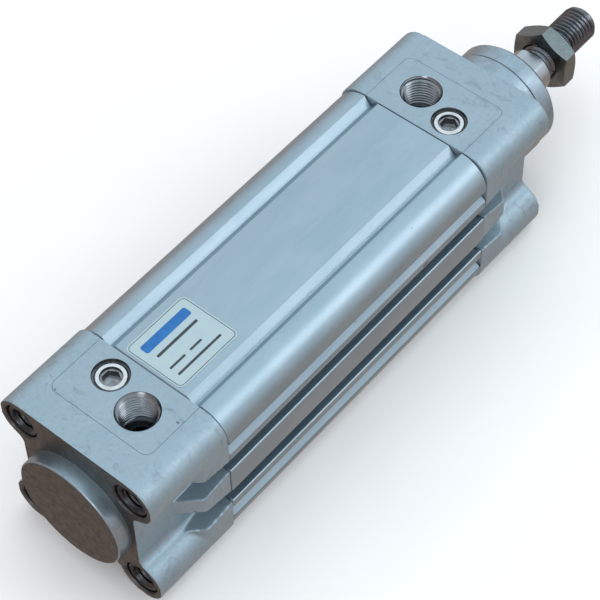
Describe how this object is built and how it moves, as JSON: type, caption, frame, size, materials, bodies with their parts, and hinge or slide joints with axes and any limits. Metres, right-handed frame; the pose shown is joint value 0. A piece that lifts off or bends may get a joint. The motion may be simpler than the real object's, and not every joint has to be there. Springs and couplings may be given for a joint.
{
  "type": "pneumatic cylinder",
  "caption": "Square profile pneumatic cylinder with short stroke, cushioned end caps, threaded ports, sensor slots, male rod thread and lock nut.",
  "frame": {"origin": "on the cylinder axis, in the plane of the front cap's mounting face, where the collar starts", "axes": "+X along the axis, out of the rod end; +Z towards the side with the ports and cushion screws; +Y to the left seen from behind"},
  "size_m": [0.196, 0.045, 0.0451],
  "materials": {
    "barrel_aluminium": "satin anodised",
    "cap_casting": "blasted die casting",
    "dark_steel": "black oxide",
    "rod_steel": "ground",
    "nut_steel": "zinc plated",
    "bright_steel": "turned",
    "seal_rubber": "matte",
    "seal_green": "matte",
    "ring_plastic": "matte",
    "bearing_bronze": "sintered",
    "magnet": "sintered",
    "label": "film",
    "piston_aluminium": "turned"
  },
  "bodies": {
    "housing": {"barrel": "barrel_aluminium", "front_cap": "cap_casting", "rear_cap": "cap_casting", "front_cap_screws": "dark_steel", "rear_cap_screws": "dark_steel", "front_barrel_seal": "seal_rubber", "rear_barrel_seal": "seal_rubber", "rod_bearing": "bearing_bronze", "rod_wiper": "seal_green", "front_cushion_seal": "seal_green", "rear_cushion_seal": "seal_green", "front_buffer": "seal_rubber", "rear_buffer": "seal_rubber", "label_film": "label"},
    "front_adjuster": {"front_adjuster": "bright_steel", "front_adjuster_ring": "seal_rubber"},
    "rear_adjuster": {"rear_adjuster": "bright_steel", "rear_adjuster_ring": "seal_rubber"},
    "piston_rings": {"piston_front_seal": "seal_green", "piston_rear_seal": "seal_green", "piston_guide_ring": "ring_plastic"},
    "rod": {"piston_rod": "rod_steel", "piston_front_half": "piston_aluminium", "piston_rear_half": "piston_aluminium", "piston_magnet": "magnet", "piston_oring": "seal_rubber", "front_cushion_sleeve": "piston_aluminium", "rear_cushion_sleeve": "piston_aluminium", "piston_nut": "nut_steel"},
    "lock_nut": {"rod_nut": "nut_steel"}
  },
  "joints": [
    {"name": "piston_slide", "type": "slide", "parent": "housing", "child": "piston_rings", "axis": [1, 0, 0], "range_m": [0, 0.05]},
    {"name": "rod_spin", "type": "hinge", "parent": "piston_rings", "child": "rod", "pos_m": [0, 0, 0], "axis": [1, 0, 0], "continuous": true},
    {"name": "nut_travel", "type": "slide", "parent": "rod", "child": "lock_nut", "axis": [1, 0, 0], "range_m": [-0.0025, 0.01375]},
    {"name": "front_adjuster_turn", "type": "hinge", "parent": "housing", "child": "front_adjuster", "pos_m": [-0.019, -0.0061, 0], "axis": [0, 0, 1], "range_deg": [-360, 360]},
    {"name": "rear_adjuster_turn", "type": "hinge", "parent": "housing", "child": "rear_adjuster", "pos_m": [-0.125, 0.0061, 0], "axis": [0, 0, 1], "range_deg": [-360, 360]}
  ]
}
